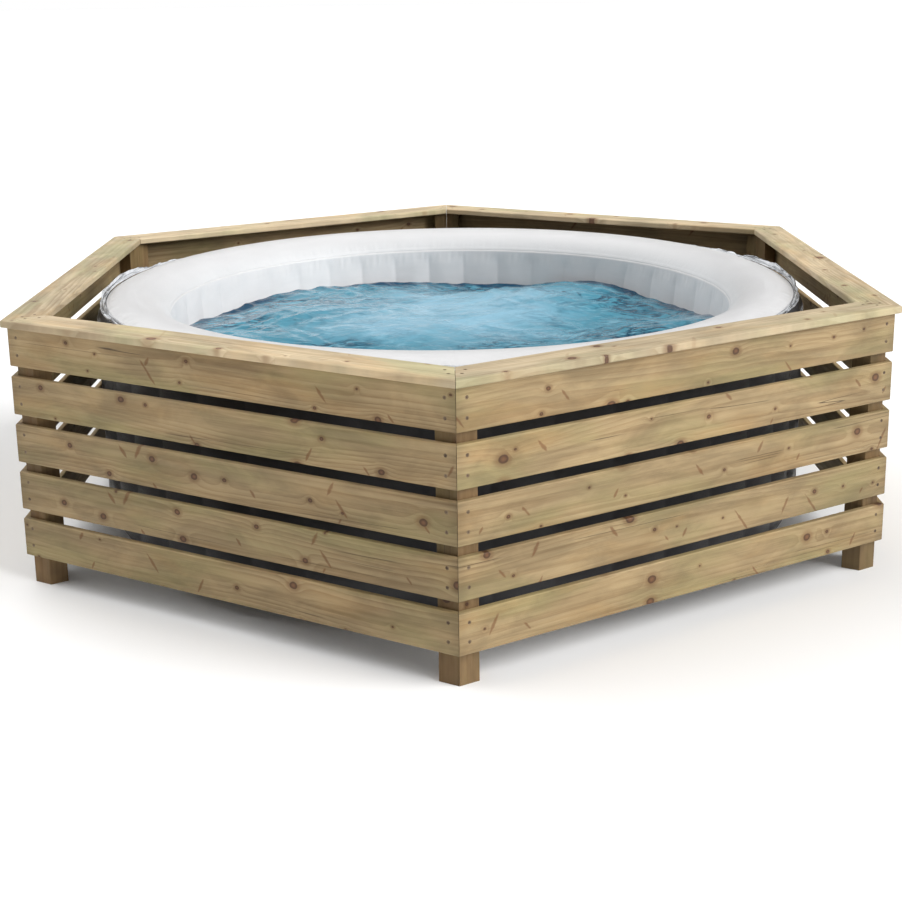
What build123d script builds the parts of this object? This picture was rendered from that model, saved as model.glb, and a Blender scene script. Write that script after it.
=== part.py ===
"""Round inflatable hot tub standing inside a hexagonal surround of timber slats.

Frame: millimetres, +Z up, origin on the ground under the centre of the hexagon.
One corner of the hexagon points along -Y and one along +Y. Two panels face +X and -X.
"""

import math
import os

from build123d import *

# ---------------------------------------------------------------- surround, driving sizes
tub_clearance = 8.37  # widest line of the tub to the inner edge of the capping
slat_height = 97.0
slat_thickness = 15.0
slat_gap = 25.0
slat_edge_radius = 3.0
slat_count = 5
foot_height = 75.0  # ground to the lowest slat
capping_width = 98.0
capping_thickness = 18.0
capping_overhang = 14.0
capping_edge_radius = 4.0
mitre_gap = 1.0  # hairline between two mitred boards
post_face = 50.0  # width of a half-post against its slats
post_depth = 45.0  # length of its radial side
post_gap = 0.6  # hairline between the two halves of a post
post_edge_radius = 2.0

# ---------------------------------------------------------------- screws
screw_length = 40.0
screw_shank_radius = 2.0
screw_head_radius = 4.2
screw_point_length = 4.0
screw_recess_width = 1.2
screw_recess_length = 4.4
screw_recess_depth = 1.6
screw_hole_clearance = 0.1
screw_sink = 0.3  # head below the face of the board
screw_tip_clearance = 1.1  # timber left between a screw and the mitre of its half-post
screw_low_share = 0.30  # heights of the two screws, as shares of the slat
screw_high_share = 0.75
# Two screws hold the capping to each half-post: how far each stands past the slat screws along
# the slat, and how far inwards from the slat's inner face.
capping_screw_offsets = ((6.66, 14.0), (28.66, 38.0))

# ---------------------------------------------------------------- tub, driving sizes
tub_radius = 980.0  # outside of the outer wall
tub_foot_radius = 100.0  # rounding between the outer wall and the ground
crest_height = 648.0  # highest line of the top ring
crest_inset = 92.4  # each inset is measured in from the outer wall, each drop down from the crest
shoulder_drop = 63.0  # where the outer wall starts to lean in
outer_seam_inset = 28.0
outer_seam_drop = 18.0
inner_seam_inset = 197.0
inner_seam_drop = 58.0
inner_wall_bulge_inset = 220.0
inner_wall_bulge_height = 300.0
inner_foot_inset = 208.0
inner_foot_rounding = 15.0
skin = 2.0  # laminated sheet of the walls
base_thickness = 3.0
floor_thickness = 6.0
floor_clearance = 2.0
baffle_count = 42
baffle_angle = 0.1  # degrees of a full turn taken by one baffle's thickness
baffle_first_angle = 86.1
baffle_low = 120.0
baffle_top_drop = 88.0

hem_width = 28.0
hem_rise = 9.0
hem_thickness = 2.0
hem_lift = 1.5

channel_width = 34.0
channel_height = 28.0
channel_wall = 2.0
channel_corner_radius = 4.0
channel_clearance = 2.0
nozzle_count = 60
nozzle_radius = 1.5

# ---------------------------------------------------------------- fittings, driving sizes
port_height = 230.0
port_bore_radius = 17.0
port_wall = 4.0
port_flange_radius = 34.0
port_flange_thickness = 4.0
port_spigot_wall = 9.0
port_spigot_length = 28.0
port_inner_flange_radius = 30.0
thread_height = 1.5
thread_width = 2.5
thread_pitch = 6.0
thread_count = 4
fitting_clearance = 0.3
wall_stand_off = 0.5  # flat inner flange off the curved inner wall

cap_clearance = 0.5
cap_wall = 4.0
cap_grip_count = 14
cap_grip_radius = 2.0

inflation_drop = 128.0
inflation_bore_radius = 12.0
inflation_wall = 4.0
inflation_flange_radius = 26.0
inflation_flange_thickness = 3.0
inflation_spigot_length = 10.0
inflation_socket_depth = 25.0

drain_edge_distance = 5.0  # top of the rounded foot to the edge of the drain's flange
drain_bore_radius = 9.0
drain_wall = 4.0
drain_flange_radius = 22.0
drain_flange_thickness = 3.0
drain_spigot_length = 20.0
drain_inner_flange_radius = 18.0
inner_flange_thickness = 3.0

screen_depth = 9.0
screen_wall = 2.0
screen_hole_radius = 2.0
screen_ring_radii = (9.0, 18.0)
screen_ring_counts = (6, 12)

# ---------------------------------------------------------------- values worked out from them
side_count = 6
half_corner = 180.0 / side_count
corner_cos = math.cos(math.radians(half_corner))
corner_sin = math.sin(math.radians(half_corner))
corner_tan = corner_sin / corner_cos
outer_seam_radius = tub_radius - outer_seam_inset
outer_seam_height = crest_height - outer_seam_drop
crest_radius = tub_radius - crest_inset
inner_seam_radius = tub_radius - inner_seam_inset
inner_seam_height = crest_height - inner_seam_drop
inner_foot_radius = tub_radius - inner_foot_inset
hem_radius = outer_seam_radius + hem_lift
tub_reach = max(tub_radius, hem_radius + hem_width)
# The surround is built round the tub: the slats stand where their capping clears it.
slat_face = tub_reach + tub_clearance + capping_width - capping_overhang
half_side = slat_face * corner_tan
slat_pitch = slat_height + slat_gap
stack_top = foot_height + slat_count * slat_height + (slat_count - 1) * slat_gap
panel_angles = {
    "right": 0.0,
    "back_right": 60.0,
    "back_left": 120.0,
    "left": 180.0,
    "front_left": 240.0,
    "front_right": 300.0,
}
corner_angles = {
    "back_right": 30.0,
    "back": 90.0,
    "back_left": 150.0,
    "front_left": 210.0,
    "front": 270.0,
    "front_right": 330.0,
}
screw_heights = (slat_height * screw_low_share, slat_height * screw_high_share)
screw_hole_radius = screw_shank_radius + screw_hole_clearance
screw_bite = screw_length + screw_sink - slat_thickness  # how deep a slat screw reaches into the post
slat_screw_inset = screw_hole_radius + (screw_bite + screw_tip_clearance) * corner_tan
bay_angle = 360.0 / baffle_count
nozzle_first_angle = 180.0 / nozzle_count
corner_bays = round(360.0 / side_count / bay_angle)  # bays from one corner of the surround to the next
port_angle = baffle_first_angle + bay_angle / 2  # the bay nearest the back corner
port_spigot_radius = port_bore_radius + port_spigot_wall
inflation_angle = port_angle + corner_bays * bay_angle
inflation_height = crest_height - inflation_drop
drain_angle = port_angle - corner_bays * bay_angle
drain_height = base_thickness + tub_foot_radius + drain_edge_distance + drain_flange_radius

os.makedirs("parts", exist_ok=True)


def save(builder, name):
    """Labels one finished sub-part and writes its file."""
    builder.part.label = name
    export_step(builder.part, f"parts/{name}.step")


def mitre_planes(gap):
    """The two corner planes of the panel that faces +X, facing out of it, half the gap back."""
    planes = []
    for side in (-1, 1):
        outward = Vector(-corner_sin, side * corner_cos, 0)
        planes.append(Plane(origin=outward * (-gap / 2), z_dir=outward))
    return planes


def post_corner():
    """Where the inner faces of two slats meet, at the +Y end of the panel that faces +X."""
    inner_face = slat_face - slat_thickness
    return Vector(inner_face, inner_face * corner_tan, 0)


def slat_screw_planes(face, level):
    """Screw places on a slat's face at both ends, axis outwards, for the panel that faces +X."""
    screw_side = post_corner().Y - slat_screw_inset
    planes = []
    for side in (-1, 1):
        for height in screw_heights:
            planes.append(Plane(origin=(face, side * screw_side, level + height), z_dir=(1, 0, 0)))
    return planes


def capping_screw_planes(height):
    """Screw places over both half-posts of the panel that faces +X, axis up."""
    corner = post_corner()
    planes = []
    for side in (-1, 1):
        for past, inwards in capping_screw_offsets:
            spot = (corner.X - inwards, side * (corner.Y - slat_screw_inset - past), height)
            planes.append(Plane(origin=spot, z_dir=(0, 0, 1)))
    return planes


# ---------------------------------------------------------------- screw
with BuildPart() as screw:
    with BuildSketch(Plane.XZ):
        with BuildLine():
            Polyline(
                (0, 0),
                (screw_head_radius, 0),
                (screw_shank_radius, screw_shank_radius - screw_head_radius),
                (screw_shank_radius, screw_point_length - screw_length),
                (0, -screw_length),
                close=True,
            )
        make_face()
    revolve(axis=Axis.Z)
    with BuildSketch():
        Rectangle(screw_recess_length, screw_recess_width)
        Rectangle(screw_recess_width, screw_recess_length)
    extrude(amount=-screw_recess_depth, mode=Mode.SUBTRACT)

# ---------------------------------------------------------------- slat, for the panel facing +X
with BuildPart() as slat:
    with BuildSketch(Plane.XZ):
        with Locations((slat_face - slat_thickness / 2, slat_height / 2)):
            RectangleRounded(slat_thickness, slat_height, slat_edge_radius)
    extrude(amount=half_side, both=True)
    for mitre in mitre_planes(mitre_gap):
        split(bisect_by=mitre, keep=Keep.BOTTOM)
    with Locations(*slat_screw_planes(slat_face, 0)):
        CounterSinkHole(
            radius=screw_hole_radius,
            counter_sink_radius=screw_head_radius + screw_hole_clearance + screw_sink,
            depth=slat_thickness,
            counter_sink_angle=90,
        )

for panel, angle in panel_angles.items():
    for row in range(slat_count):
        with BuildPart() as placed_slat:
            with Locations(Location((0, 0, foot_height + row * slat_pitch), (0, 0, angle))):
                add(slat.part)
        save(placed_slat, f"slat_{panel}_{row + 1}")

# ---------------------------------------------------------------- capping board
capping_face = slat_face + capping_overhang
capping_top = stack_top + capping_thickness
with BuildPart() as capping:
    with BuildSketch(Plane.XZ):
        with Locations((capping_face - capping_width / 2, stack_top + capping_thickness / 2)):
            RectangleRounded(capping_width, capping_thickness, capping_edge_radius)
    extrude(amount=capping_face * corner_tan, both=True)
    for mitre in mitre_planes(mitre_gap):
        split(bisect_by=mitre, keep=Keep.BOTTOM)
    with Locations(*capping_screw_planes(capping_top)):
        CounterSinkHole(
            radius=screw_hole_radius,
            counter_sink_radius=screw_head_radius + screw_hole_clearance + screw_sink,
            depth=capping_thickness,
            counter_sink_angle=90,
        )

for panel, angle in panel_angles.items():
    with BuildPart() as placed_capping:
        with PolarLocations(0, 1, start_angle=angle):
            add(capping.part)
    save(placed_capping, f"capping_{panel}")

# ---------------------------------------------------------------- corner post, two mitred halves
post_reach = post_face * corner_sin + post_depth  # corner of the post to its flat inner face
radial = Vector(-corner_cos, -corner_sin, 0)
with BuildPart() as half_post:
    with BuildSketch():
        corner = post_corner()
        face_end = corner - Vector(0, post_face, 0)
        side_end = face_end + radial * post_depth
        middle = corner + radial * post_reach
        with BuildLine():
            Polyline(corner, face_end, side_end, middle, close=True)
        make_face()
    extrude(amount=stack_top)
    fillet(half_post.edges().filter_by(Axis.Z).sort_by(Axis.Y)[:2], radius=post_edge_radius)
    split(bisect_by=mitre_planes(post_gap)[1], keep=Keep.BOTTOM)
    for row in range(slat_count):
        with Locations(*slat_screw_planes(slat_face - slat_thickness, foot_height + row * slat_pitch)[2:]):
            Hole(radius=screw_hole_radius, depth=screw_bite)
    with Locations(*capping_screw_planes(stack_top)[2:]):
        Hole(radius=screw_hole_radius, depth=screw_length + screw_sink - capping_thickness)

corner_mirror = Plane(origin=(0, 0, 0), z_dir=(-corner_sin, corner_cos, 0))
with BuildPart() as post:
    add(half_post.part)
    mirror(about=corner_mirror)

for place, angle in corner_angles.items():
    with BuildPart() as placed_post:
        with PolarLocations(0, 1, start_angle=angle - half_corner):
            add(post.part)
    save(placed_post, f"corner_post_{place}")

# ---------------------------------------------------------------- all the screws of the surround
screw_places = []
for angle in panel_angles.values():
    turn = Location((0, 0, 0), (0, 0, angle))
    for row in range(slat_count):
        for plane in slat_screw_planes(slat_face - screw_sink, foot_height + row * slat_pitch):
            screw_places.append(turn * plane.location)
    for plane in capping_screw_planes(capping_top - screw_sink):
        screw_places.append(turn * plane.location)

with BuildPart() as screws:
    with Locations(*screw_places):
        add(screw.part)
save(screws, "surround_screws")

# ---------------------------------------------------------------- air chamber of the tub
# One closed outline of the chamber in radius and height. The skin between it and its inset
# is cut at the seams into the outer wall, the top ring and the inner wall.
with BuildSketch(Plane.XZ) as chamber:
    with BuildLine():
        ground = Line(
            (inner_foot_radius + inner_foot_rounding, base_thickness),
            (tub_radius - tub_foot_radius, base_thickness),
        )
        foot = TangentArc(
            ground @ 1, (tub_radius, base_thickness + tub_foot_radius), tangent=(1, 0)
        )
        wall = Line(foot @ 1, (tub_radius, crest_height - shoulder_drop))
        shoulder = TangentArc(wall @ 1, (outer_seam_radius, outer_seam_height), tangent=(0, 1))
        ring = ThreePointArc(
            shoulder @ 1, (crest_radius, crest_height), (inner_seam_radius, inner_seam_height)
        )
        bulge = ThreePointArc(
            ring @ 1,
            (tub_radius - inner_wall_bulge_inset, inner_wall_bulge_height),
            (inner_foot_radius, base_thickness + inner_foot_rounding),
        )
        Line(bulge @ 1, ground @ 0)
    make_face()

with BuildSketch(Plane.XZ) as chamber_air:
    add(chamber.sketch_local)
    offset(amount=-skin, mode=Mode.REPLACE)

mid_radius = (inner_foot_radius + tub_radius) / 2


def wall_cut(low_radius, high_radius, low, high):
    """Rectangle in radius and height."""
    with BuildSketch() as area:
        with Locations((low_radius, low)):
            Rectangle(high_radius - low_radius, high - low, align=(Align.MIN, Align.MIN))
    return area.sketch


outer_area = wall_cut(mid_radius, 2 * tub_radius, 0, outer_seam_height)
inner_area = wall_cut(0, mid_radius, 0, inner_seam_height)


def through_places(angle, height, spread=(0,)):
    """Radial axes through the walls at one height, at the given numbers of bays to each side."""
    places = []
    for bays in spread:
        turned = math.radians(angle + bays * bay_angle)
        outward = Vector(math.cos(turned), math.sin(turned), 0)
        places.append(Plane(origin=Vector(0, 0, height), x_dir=(0, 0, 1), z_dir=outward))
    return places


port_bays = (-1, 0, 1)
port_places = through_places(port_angle, port_height, port_bays)
inflation_places = through_places(inflation_angle, inflation_height)
drain_places = through_places(drain_angle, drain_height)
port_sleeve_radius = port_bore_radius + port_wall
inflation_body_radius = inflation_bore_radius + inflation_wall
drain_body_radius = drain_bore_radius + drain_wall


def ways_out(places, radius):
    """Round rods along the radial axes, from the centre line outwards, that cut holes for fittings."""
    with BuildPart() as rods:
        with BuildSketch(*places):
            Circle(radius + fitting_clearance)
        extrude(amount=2 * tub_radius)
    return rods.part


port_ways = ways_out(port_places, port_sleeve_radius)
inflation_way = ways_out(inflation_places, inflation_body_radius)
drain_way = ways_out(drain_places, drain_body_radius)


with BuildPart() as outer_wall:
    with BuildSketch(Plane.XZ):
        add(chamber.sketch_local)
        add(chamber_air.sketch_local, mode=Mode.SUBTRACT)
        add(outer_area, mode=Mode.INTERSECT)
    revolve(axis=Axis.Z)
    add((port_ways, inflation_way, drain_way), mode=Mode.SUBTRACT)
save(outer_wall, "outer_wall")

with BuildPart() as inner_wall:
    with BuildSketch(Plane.XZ):
        add(chamber.sketch_local)
        add(chamber_air.sketch_local, mode=Mode.SUBTRACT)
        add(inner_area, mode=Mode.INTERSECT)
    revolve(axis=Axis.Z)
    add((port_ways, drain_way), mode=Mode.SUBTRACT)
save(inner_wall, "inner_wall")

with BuildPart() as top_ring:
    with BuildSketch(Plane.XZ):
        add(chamber.sketch_local)
        add(chamber_air.sketch_local, mode=Mode.SUBTRACT)
        add(outer_area, mode=Mode.SUBTRACT)
        add(inner_area, mode=Mode.SUBTRACT)
    revolve(axis=Axis.Z)
save(top_ring, "top_ring")

# Upright webs that tie the two walls together inside the chamber.
with BuildPart() as baffle:
    with BuildSketch(Plane.XZ):
        add(chamber_air.sketch_local)
        add(wall_cut(0, tub_radius, baffle_low, crest_height - baffle_top_drop), mode=Mode.INTERSECT)
    revolve(axis=Axis.Z, revolution_arc=baffle_angle)

with BuildPart() as wall_baffles:
    with PolarLocations(0, baffle_count, start_angle=baffle_first_angle):
        add(baffle.part)
save(wall_baffles, "wall_baffles")

# ---------------------------------------------------------------- hem along the outer seam
hem_root = (hem_radius, outer_seam_height + hem_lift)
with BuildPart() as hem_band:
    with BuildSketch(Plane.XZ):
        with BuildLine():
            Polyline(
                hem_root,
                (hem_root[0] + hem_width, hem_root[1] + hem_rise),
                (hem_root[0] + hem_width, hem_root[1] + hem_rise + hem_thickness),
                (hem_root[0], hem_root[1] + hem_thickness),
                close=True,
            )
        make_face()
    revolve(axis=Axis.Z)
save(hem_band, "hem_band")

# ---------------------------------------------------------------- base, floor and bubble channel
with BuildPart() as base_sheet:
    with BuildSketch():
        Circle(tub_radius - tub_foot_radius)
    extrude(amount=base_thickness)
save(base_sheet, "base_sheet")

floor_top = base_thickness + floor_thickness
with BuildPart() as floor_pad:
    with BuildSketch(Plane.XY.offset(base_thickness)):
        Circle(inner_foot_radius - floor_clearance)
    extrude(amount=floor_thickness)
save(floor_pad, "floor_pad")


def inner_wall_radius(height, half_height, half_width):
    """How far out a flat disc of that half height and width may stand inside the inner wall."""
    outline = chamber.sketch_local.face()
    reach = []
    for level in (height - half_height, height, height + half_height):
        probe = Edge.make_line((0, level), (mid_radius, level))
        wall_side = probe - outline
        reach.append(wall_side.edges().sort_by(Axis.X)[0].bounding_box().max.X)
    return math.sqrt(min(reach) ** 2 - half_width**2)


channel_middle = floor_top + channel_height / 2
channel_outside = inner_wall_radius(channel_middle, channel_height / 2, 0) - channel_clearance
channel_radius = channel_outside - channel_width / 2
with BuildPart() as bubble_channel:
    with BuildSketch(Plane.XZ):
        with Locations((channel_radius, channel_middle)):
            RectangleRounded(channel_width, channel_height, channel_corner_radius)
            Rectangle(
                channel_width - 2 * channel_wall,
                channel_height - 2 * channel_wall,
                mode=Mode.SUBTRACT,
            )
    revolve(axis=Axis.Z)
    with BuildSketch(Plane.XY.offset(floor_top + channel_height)):
        with PolarLocations(channel_radius, nozzle_count, start_angle=nozzle_first_angle):
            Circle(nozzle_radius)
    extrude(amount=-2 * channel_wall, mode=Mode.SUBTRACT)
save(bubble_channel, "bubble_channel")


# ---------------------------------------------------------------- through-wall fittings
def fitting_profile(bore, wall, flange, flange_thickness, spigot, inner_end, inner_flange):
    """Half section of a fitting in distance from the tub's centre and distance from its own axis.

    A sleeve from inner_end out to the tub's face, a flange on that face and a spigot outside.
    An inner flange stands on the cavity side when its radius is more than the sleeve's.
    """
    body = bore + wall
    flange_end = tub_radius + flange_thickness
    with BuildSketch() as section:
        with Locations((inner_end, bore)):
            Rectangle(flange_end - inner_end, wall, align=(Align.MIN, Align.MIN))
        with Locations((tub_radius, bore)):
            Rectangle(flange_thickness, flange - bore, align=(Align.MIN, Align.MIN))
        with Locations((flange_end, bore)):
            Rectangle(spigot[1], spigot[0] - bore, align=(Align.MIN, Align.MIN))
        if inner_flange > body:
            with Locations((inner_end, bore)):
                Rectangle(
                    inner_flange_thickness, inner_flange - bore, align=(Align.MIN, Align.MIN)
                )
    return section.sketch


def turned_fitting(section):
    """The half section turned about its own axis, which points out of the tub along +Z."""
    with BuildPart() as turned:
        with BuildSketch(Plane.ZX):
            add(section)
        revolve(axis=Axis.Z)
    return turned.part


def threaded(section_start, radius):
    """Thread ridges as separate rings' half sections along the spigot."""
    with BuildSketch() as ridges:
        for turn_index in range(thread_count):
            with Locations((section_start + turn_index * thread_pitch, radius)):
                Rectangle(thread_width, thread_height, align=(Align.MIN, Align.MIN))
    return ridges.sketch


port_inner_end = (
    inner_wall_radius(port_height, port_inner_flange_radius, port_inner_flange_radius)
    - wall_stand_off
    - inner_flange_thickness
)
port_flange_end = tub_radius + port_flange_thickness
with BuildSketch() as port_section:
    add(
        fitting_profile(
            port_bore_radius,
            port_wall,
            port_flange_radius,
            port_flange_thickness,
            (port_spigot_radius, port_spigot_length),
            port_inner_end,
            port_inner_flange_radius,
        )
    )
    add(threaded(port_flange_end + thread_width, port_spigot_radius))
port_fitting = turned_fitting(port_section.sketch)

with BuildPart() as port_couplings:
    with Locations(*port_places):
        add(port_fitting)
save(port_couplings, "port_couplings")

inflation_inner_end = tub_radius - inflation_socket_depth
inflation_fitting = turned_fitting(
    fitting_profile(
        inflation_bore_radius,
        inflation_wall,
        inflation_flange_radius,
        inflation_flange_thickness,
        (inflation_body_radius, inflation_spigot_length),
        inflation_inner_end,
        0,
    )
)
with BuildPart() as inflation_valve:
    with Locations(*inflation_places):
        add(inflation_fitting)
save(inflation_valve, "inflation_valve")

drain_inner_end = (
    inner_wall_radius(drain_height, drain_inner_flange_radius, drain_inner_flange_radius)
    - wall_stand_off
    - inner_flange_thickness
)
drain_fitting = turned_fitting(
    fitting_profile(
        drain_bore_radius,
        drain_wall,
        drain_flange_radius,
        drain_flange_thickness,
        (drain_body_radius, drain_spigot_length),
        drain_inner_end,
        drain_inner_flange_radius,
    )
)
with BuildPart() as drain_valve:
    with Locations(*drain_places):
        add(drain_fitting)
save(drain_valve, "drain_valve")


# ---------------------------------------------------------------- screw caps
def screw_cap(flange_end, outer_radius, length):
    """A cap over a spigot, with grip ribs around it, clear of the spigot and its flange."""
    inside = outer_radius + cap_clearance
    outside = inside + cap_wall
    start = flange_end + cap_clearance
    depth = length + cap_wall
    with BuildPart() as cap:
        with BuildSketch(Plane.XY.offset(start)):
            Circle(outside)
            with PolarLocations(outside, cap_grip_count):
                Circle(cap_grip_radius)
        extrude(amount=depth)
        with BuildSketch(Plane.XY.offset(start)):
            Circle(inside)
        extrude(amount=length, mode=Mode.SUBTRACT)
    return cap.part


stopper = screw_cap(port_flange_end, port_spigot_radius + thread_height, port_spigot_length)
for stopper_name, place in zip(("water_inlet_cap", "air_port_cap", "water_outlet_cap"), port_places):
    with BuildPart() as placed_stopper:
        with Locations(place):
            add(stopper)
    save(placed_stopper, stopper_name)

inflation_lid = screw_cap(
    tub_radius + inflation_flange_thickness, inflation_body_radius, inflation_spigot_length
)
with BuildPart() as inflation_cap:
    with Locations(*inflation_places):
        add(inflation_lid)
save(inflation_cap, "inflation_cap")

drain_lid = screw_cap(tub_radius + drain_flange_thickness, drain_body_radius, drain_spigot_length)
with BuildPart() as drain_cap:
    with Locations(*drain_places):
        add(drain_lid)
save(drain_cap, "drain_cap")

# ---------------------------------------------------------------- debris screens inside the ports
with BuildPart() as screen:
    with BuildSketch(Plane.XY.offset(port_inner_end - screen_depth)):
        Circle(port_inner_flange_radius)
    extrude(amount=screen_depth)
    with BuildSketch(Plane.XY.offset(port_inner_end)):
        Circle(port_inner_flange_radius - screen_wall)
    extrude(amount=screen_wall - screen_depth, mode=Mode.SUBTRACT)
    with BuildSketch(Plane.XY.offset(port_inner_end - screen_depth)):
        Circle(screen_hole_radius)
        for ring_radius, ring_count in zip(screen_ring_radii, screen_ring_counts):
            with PolarLocations(ring_radius, ring_count):
                Circle(screen_hole_radius)
    extrude(amount=screen_wall, mode=Mode.SUBTRACT)

with BuildPart() as debris_screens:
    with Locations(*port_places):
        add(screen.part)
save(debris_screens, "debris_screens")
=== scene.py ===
"""Looks of a round inflatable hot tub standing in a hexagonal surround of timber slats.

Metres, +Z up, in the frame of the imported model. The boards, posts, screws and fittings keep their
own shapes and are given their finishes. The welded sheet of the tub, its hem, its floor pad and the
water are new surfaces worked out here.
"""

import math

import bpy
import numpy as np
from bpy.props import FloatProperty, FloatVectorProperty, IntProperty, PointerProperty
from bpy.types import Operator, Panel, PropertyGroup
from mathutils import Matrix, Vector


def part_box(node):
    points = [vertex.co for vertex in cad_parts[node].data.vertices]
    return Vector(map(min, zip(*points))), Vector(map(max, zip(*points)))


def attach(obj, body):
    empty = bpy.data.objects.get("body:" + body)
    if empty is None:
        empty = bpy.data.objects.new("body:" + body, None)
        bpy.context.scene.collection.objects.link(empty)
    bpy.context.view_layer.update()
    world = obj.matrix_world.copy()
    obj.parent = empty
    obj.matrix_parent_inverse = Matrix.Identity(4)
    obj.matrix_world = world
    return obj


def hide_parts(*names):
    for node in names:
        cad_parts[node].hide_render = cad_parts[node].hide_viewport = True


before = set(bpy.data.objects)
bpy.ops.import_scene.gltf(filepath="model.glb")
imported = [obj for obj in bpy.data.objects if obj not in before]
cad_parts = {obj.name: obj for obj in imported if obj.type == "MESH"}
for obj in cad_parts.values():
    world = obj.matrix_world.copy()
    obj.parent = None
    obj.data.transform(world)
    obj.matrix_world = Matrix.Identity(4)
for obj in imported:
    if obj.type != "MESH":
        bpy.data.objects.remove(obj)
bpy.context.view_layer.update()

bl_info = {
    "name": "Slatted hot tub",
    "version": (1, 0, 0),
    "blender": (4, 5, 0),
    "location": "3D View > Sidebar > Hot tub",
    "description": "Finishes and soft surfaces of an inflatable hot tub in a timber surround",
    "category": "Add Mesh",
}

# ------------------------------------------------------------------ sizes read from the frame
PANELS = {"right": 0, "back_right": 60, "back_left": 120, "left": 180, "front_left": 240, "front_right": 300}
CORNERS = {
    "back_right": 30, "back": 90, "back_left": 150, "front_left": 210, "front": 270, "front_right": 330,
}
ROWS = 5

LOW_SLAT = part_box("slat_right_1")
NEXT_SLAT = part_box("slat_right_2")
SLAT_LOW = LOW_SLAT[0].z
SLAT_HEIGHT = LOW_SLAT[1].z - LOW_SLAT[0].z
SLAT_PITCH = NEXT_SLAT[0].z - LOW_SLAT[0].z
SLAT_FACE = LOW_SLAT[1].x
HALF_SIDE = LOW_SLAT[1].y
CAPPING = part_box("capping_right")

OUTER_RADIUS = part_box("outer_wall")[1].x
BASE_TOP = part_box("base_sheet")[1].z
FOOT_RADIUS = OUTER_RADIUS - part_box("base_sheet")[1].x
OUTER_SEAM_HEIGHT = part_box("outer_wall")[1].z
CREST_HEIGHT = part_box("top_ring")[1].z
INNER_SEAM_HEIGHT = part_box("inner_wall")[1].z
HEM_ROOT_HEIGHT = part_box("hem_band")[0].z
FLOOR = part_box("floor_pad")
CHANNEL_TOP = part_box("bubble_channel")[1].z

# ------------------------------------------------------------------ sizes of the tub's own section
OUTER_SEAM_RADIUS = OUTER_RADIUS - 0.028
CREST_RADIUS = OUTER_RADIUS - 0.0924
INNER_SEAM_RADIUS = OUTER_RADIUS - 0.197
INNER_WALL_RADIUS = OUTER_RADIUS - 0.220
INNER_WALL_MIDDLE = 0.300
INNER_FOOT_RADIUS = OUTER_RADIUS - 0.208
INNER_FOOT_HEIGHT = BASE_TOP + 0.015
SHOULDER_HEIGHT = CREST_HEIGHT - 0.063
HEM_ROOT_RADIUS = OUTER_SEAM_RADIUS + 0.0015
HEM_REACH = (0.940, OUTER_RADIUS + 0.0055)  # the hem stays between these two radii
BAY_COUNT = 42
FIRST_BAFFLE = math.radians(86.1)
BAY = 2 * math.pi / BAY_COUNT
WEB_SEAM = 0.004  # a web stops this far short of the walls
WALL_SHEET = 0.0018
WEB_SHEET = 0.0012
HEM_SHEET = 0.0010
CHANNEL_REACH = 0.036  # the bubble channel and its clearance, from its outside inwards
WATER_GAP = 0.0005  # water to the floor pad

# ------------------------------------------------------------------ finishes and stage
BOARD_SHIFT = 23.0  # how far one board's pattern may lie along from another's
WEAVE_PITCH = 3600.0  # radians of weave for a metre of sheet
FLOOR_REACH = 400.0
KEY_DIRECTION = (0.79, -0.35, 0.56)
KEY_SPREAD = 46  # degrees
FILL_DIRECTION = (-0.62, 0.34, 0.71)
FILL_SPREAD = 80
CAMERA_PLACE = (-0.0273, -3.989, 1.411)
CAMERA_YAW = 0.408  # degrees
CAMERA_PITCH = 13.495
CAMERA_ROLL = -0.834
CAMERA_SHIFT = -0.1197


# ------------------------------------------------------------------ settings a user would change
class HotTubTimber(PropertyGroup):
    """Finish of the boards and posts."""

    early_wood: FloatVectorProperty(
        name="Early wood", description="Pale wood between the grain lines", subtype="COLOR",
        default=(0.338, 0.250, 0.136), min=0, max=1,
    )
    late_wood: FloatVectorProperty(
        name="Late wood", description="Darker grain lines", subtype="COLOR",
        default=(0.215, 0.138, 0.066), min=0, max=1,
    )
    knot: FloatVectorProperty(
        name="Knots", description="Heart of a knot", subtype="COLOR",
        default=(0.060, 0.026, 0.012), min=0, max=1,
    )
    ring_spacing: FloatProperty(
        name="Ring spacing", description="Distance between two grain lines", subtype="DISTANCE",
        default=0.0085, min=0.002, max=0.03,
    )
    knot_spacing: FloatProperty(
        name="Knot spacing", description="Average distance between knots", subtype="DISTANCE",
        default=0.098, min=0.03, max=1,
    )


class HotTubWalls(PropertyGroup):
    """Shape and colours of the inflated walls."""

    white: FloatVectorProperty(
        name="Ring", description="Sheet of the top ring", subtype="COLOR",
        default=(0.665, 0.662, 0.666), min=0, max=1,
    )
    grey: FloatVectorProperty(
        name="Inner wall", description="Sheet of the inner wall", subtype="COLOR",
        default=(0.720, 0.704, 0.704), min=0, max=1,
    )
    charcoal: FloatVectorProperty(
        name="Outer wall", description="Sheet of the outer wall", subtype="COLOR",
        default=(0.038, 0.038, 0.043), min=0, max=1,
    )
    crease_depth: FloatProperty(
        name="Crease depth", description="How far a baffle pulls the inner wall back", subtype="DISTANCE",
        default=0.0045, min=0, max=0.04,
    )
    rib_depth: FloatProperty(
        name="Rib depth", description="How far a baffle pulls the outer wall in", subtype="DISTANCE",
        default=0.007, min=0, max=0.03,
    )
    hem_width: FloatProperty(
        name="Hem width", description="Width of the crinkled hem", subtype="DISTANCE",
        default=0.021, min=0.005, max=0.05,
    )
    turn_steps: IntProperty(
        name="Steps round", description="Grid steps round a wall", default=1008, min=84, max=2100
    )


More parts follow.
